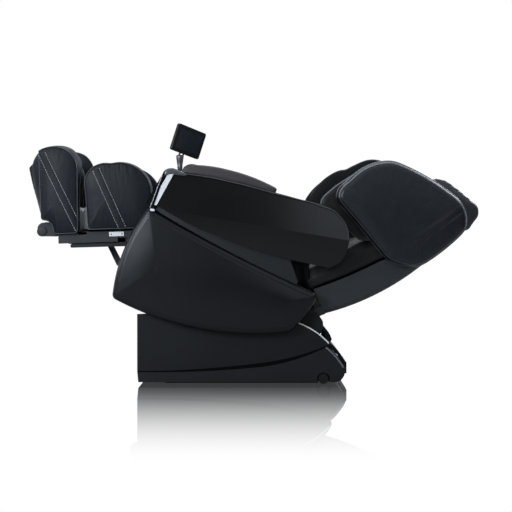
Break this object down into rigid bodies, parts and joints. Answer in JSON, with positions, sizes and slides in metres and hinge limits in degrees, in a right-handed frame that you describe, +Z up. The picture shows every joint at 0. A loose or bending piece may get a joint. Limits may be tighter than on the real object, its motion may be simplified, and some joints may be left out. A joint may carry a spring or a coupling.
{
  "type": "massage chair",
  "caption": "Reclining zero-gravity massage chair with raised legrest, armrests with control tablet, sliding seat, winged backrest and massage carriage.",
  "frame": {"origin": "centre of the base on the floor, under the middle of the chair's width", "axes": "+Z up, +X from the feet to the head, +Y to the sitter's right"},
  "size_m": [1.9034, 0.756, 1.0704],
  "materials": {
    "steel": "satin powder coat",
    "bright_steel": "ground",
    "rubber": "matt",
    "shell_plastic": "fine texture",
    "gloss_plastic": "piano gloss",
    "chrome": "polished",
    "leather": "soft grain",
    "brown_leather": "soft grain",
    "cloth": "woven",
    "screen": "gloss"
  },
  "bodies": {
    "base": {"base_frame": "steel", "rubber_feet": "rubber", "base_plinth": "shell_plastic", "base_cover_left": "shell_plastic", "base_cover_right": "shell_plastic", "base_front_cover": "shell_plastic", "base_rear_cover": "shell_plastic", "base_trim_left": "chrome", "base_trim_right": "chrome", "power_inlet": "shell_plastic"},
    "switch": {"power_switch": "shell_plastic"},
    "wheels": {"transport_wheels": "rubber"},
    "carriage": {"carriage_frame": "steel"},
    "front_wheelset": {"carriage_axle_front": "bright_steel"},
    "rear_wheelset": {"carriage_axle_rear": "bright_steel"},
    "seat": {"seat_plate_left": "steel", "seat_plate_right": "steel", "tilt_shaft": "bright_steel", "knee_shaft": "bright_steel", "hip_shaft": "bright_steel", "seat_pan": "steel", "seat_cushion": "brown_leather", "side_shell_left": "shell_plastic", "side_shell_right": "shell_plastic", "side_fairing_left": "gloss_plastic", "side_fairing_right": "gloss_plastic"},
    "arm_left": {"arm_core_left": "shell_plastic", "arm_shell_left": "gloss_plastic", "arm_strip_left": "chrome", "arm_pad_left": "brown_leather", "tablet_stalk": "chrome"},
    "arm_right": {"arm_core_right": "shell_plastic", "arm_shell_right": "gloss_plastic", "arm_strip_right": "chrome", "arm_pad_right": "brown_leather"},
    "tablet": {"tablet_case": "gloss_plastic", "tablet_screen": "screen"},
    "tablet_key": {"tablet_button": "gloss_plastic"},
    "backrest": {"back_rail_left": "steel", "back_rail_right": "steel", "back_shell": "shell_plastic", "back_pad": "brown_leather", "wing_left": "leather", "wing_right": "leather", "head_pillow": "leather"},
    "massager": {"massage_carriage": "steel"},
    "kneader": {"kneading_shaft": "bright_steel"},
    "legrest": {"calf_frame": "steel", "calf_cover": "shell_plastic", "calf_cradle": "brown_leather", "calf_lobe_left": "leather", "calf_lobe_right": "leather"},
    "footrest": {"foot_frame": "steel", "foot_cradle": "brown_leather", "leg_bellows": "cloth", "foot_lobe_left": "leather", "foot_lobe_right": "leather"},
    "roller": {"foot_roller": "rubber"},
    "actuator": {"leg_motor": "steel"},
    "actuator_rod": {"leg_rod": "bright_steel"}
  },
  "joints": [
    {"name": "seat_slide", "type": "slide", "parent": "base", "child": "carriage", "axis": [-1, 0, 0], "range_m": [-0.1, 0.0142]},
    {"name": "seat_tilt", "type": "hinge", "parent": "carriage", "child": "seat", "pos_m": [0.15, 0, 0.26], "axis": [0, 1, 0], "range_deg": [-18, 2]},
    {"name": "recline", "type": "hinge", "parent": "seat", "child": "backrest", "pos_m": [0.24008, 0, 0.34955], "axis": [0, 1, 0], "range_deg": [-28, 4]},
    {"name": "arm_left_hinge", "type": "hinge", "parent": "seat", "child": "arm_left", "pos_m": [-0.34441, 0, 0.73503], "axis": [0, 1, 0], "range_deg": [-1, 6]},
    {"name": "arm_right_hinge", "type": "hinge", "parent": "seat", "child": "arm_right", "pos_m": [-0.34441, 0, 0.73503], "axis": [0, 1, 0], "range_deg": [-1, 6]},
    {"name": "legrest_lift", "type": "hinge", "parent": "seat", "child": "legrest", "pos_m": [-0.32008, 0, 0.65457], "axis": [0, 1, 0], "range_deg": [-45, 10]},
    {"name": "footrest_slide", "type": "slide", "parent": "legrest", "child": "footrest", "axis": [-0.9994, 0, -0.0349], "range_m": [-0.012, 0.12], "deforming": ["leg_bellows"]},
    {"name": "foot_roller_spin", "type": "hinge", "parent": "footrest", "child": "roller", "pos_m": [-0.84365, 0, 0.63329], "axis": [0, 1, 0], "continuous": true},
    {"name": "actuator_swing", "type": "hinge", "parent": "seat", "child": "actuator", "pos_m": [-0.04248, 0, 0.41191], "axis": [0, 1, 0], "range_deg": [-15.4, 3.8]},
    {"name": "actuator_stroke", "type": "slide", "parent": "actuator", "child": "actuator_rod", "axis": [-0.9836, 0, 0.1805], "range_m": [-0.1775, 0.041]},
    {"name": "tablet_turn", "type": "hinge", "parent": "arm_left", "child": "tablet", "pos_m": [-0.21781, -0.312, 1.00078], "axis": [0.309, 0, 0.9511], "range_deg": [-40, 40]},
    {"name": "tablet_key_press", "type": "slide", "parent": "tablet", "child": "tablet_key", "axis": [0.6239, 0.7547, -0.2027], "range_m": [0, 0.0015], "stiffness_N_per_m": 200},
    {"name": "massage_travel", "type": "slide", "parent": "backrest", "child": "massager", "axis": [0.8988, 0, 0.4384], "range_m": [0, 0.32]},
    {"name": "kneading_spin", "type": "hinge", "parent": "massager", "child": "kneader", "pos_m": [0.392, 0, 0.38025], "axis": [0, 1, 0], "continuous": true},
    {"name": "front_wheelset_spin", "type": "hinge", "parent": "carriage", "child": "front_wheelset", "pos_m": [-0.12, 0, 0.091], "axis": [0, 1, 0], "continuous": true},
    {"name": "rear_wheelset_spin", "type": "hinge", "parent": "carriage", "child": "rear_wheelset", "pos_m": [0.17, 0, 0.091], "axis": [0, 1, 0], "continuous": true},
    {"name": "transport_wheels_spin", "type": "hinge", "parent": "base", "child": "wheels", "pos_m": [0.338, 0, 0.026], "axis": [0, 1, 0], "continuous": true},
    {"name": "power_rocker", "type": "hinge", "parent": "base", "child": "switch", "pos_m": [0.437, 0.03, 0.06], "axis": [0, 1, 0], "range_deg": [-8, 8]}
  ],
  "couplings": [
    {"joint": "recline", "follows": "seat_slide", "rad_per_m": 4.887},
    {"joint": "arm_left_hinge", "follows": "seat_slide", "rad_per_m": -1.0472},
    {"joint": "arm_right_hinge", "follows": "seat_slide", "rad_per_m": -1.0472},
    {"joint": "actuator_swing", "follows": "legrest_lift", "ratio": 0.33},
    {"joint": "actuator_stroke", "follows": "legrest_lift", "m_per_rad": 0.22345}
  ]
}
